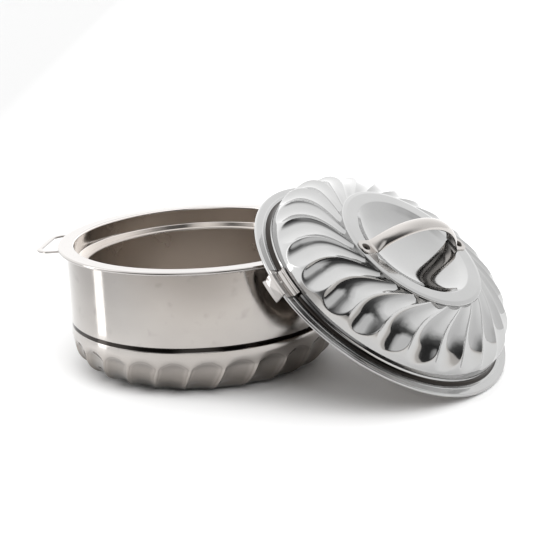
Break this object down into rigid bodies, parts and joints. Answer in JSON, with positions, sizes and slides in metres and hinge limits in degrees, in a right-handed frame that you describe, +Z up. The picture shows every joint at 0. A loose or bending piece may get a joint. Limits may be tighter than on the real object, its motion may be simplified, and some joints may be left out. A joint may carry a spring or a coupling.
{
  "type": "insulated casserole with lid",
  "caption": "Round insulated stainless steel casserole for flatbread, with side loops and a loose domed lid with swirled flutes, a riveted arch handle and rim clips.",
  "frame": {"origin": "centre of the pot's flat foot, on the floor", "axes": "+Z up along the pot's axis; the lid leans on the pot's right side, +X, and towards the front, -Y; the left side loop points to -X"},
  "size_m": [0.4543, 0.3468, 0.1836],
  "materials": {
    "polished_steel": "mirror-polished stainless steel",
    "brushed_steel": "satin stainless steel, turned inside of the vessel",
    "foam": "foamed polyurethane, sealed in and unseen"
  },
  "bodies": {
    "pot": {"outer_shell": "polished_steel", "inner_vessel": "brushed_steel", "vessel_foam": "foam", "side_loop_left": "polished_steel", "side_loop_right": "polished_steel"},
    "lid": {"lid_cover": "polished_steel", "lid_liner": "polished_steel", "lid_foam": "foam", "lid_handle": "polished_steel", "handle_rivets": "polished_steel", "handle_washers": "polished_steel", "lid_clip_front": "polished_steel", "lid_clip_back": "polished_steel", "clip_rivets": "polished_steel"}
  },
  "joints": [
    {"name": "lid_lift", "type": "slide", "parent": "pot", "child": "lid", "axis": [0.5194, -0.3109, 0.796], "range_m": [0, 0.15]}
  ]
}
